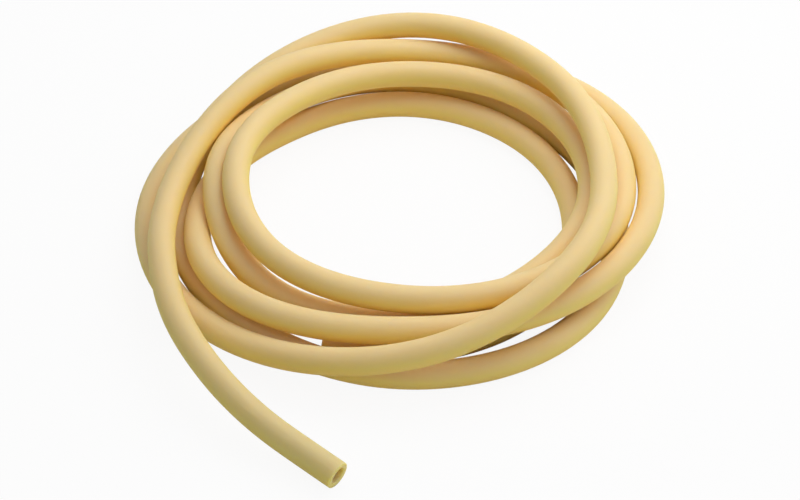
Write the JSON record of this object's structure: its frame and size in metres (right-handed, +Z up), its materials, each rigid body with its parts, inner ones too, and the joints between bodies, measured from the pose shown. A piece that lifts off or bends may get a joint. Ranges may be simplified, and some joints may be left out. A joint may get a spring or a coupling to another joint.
{
  "type": "rubber tubing coil",
  "caption": "Length of natural latex rubber laboratory tubing, wound by hand into a loose coil, its free end led out over the front to be pushed onto a nozzle or glass tube.",
  "frame": {"origin": "middle of the coil's footprint, free end included, on the surface that it lies on", "axes": "+Z up along the coil's axis, the free end leads out towards -Y, +X is to the right of it"},
  "size_m": [0.1992, 0.2317, 0.0366],
  "materials": {
    "latex": "soft matte, amber where light passes through it"
  },
  "bodies": {
    "root": {"tubing": "latex"}
  },
  "joints": []
}
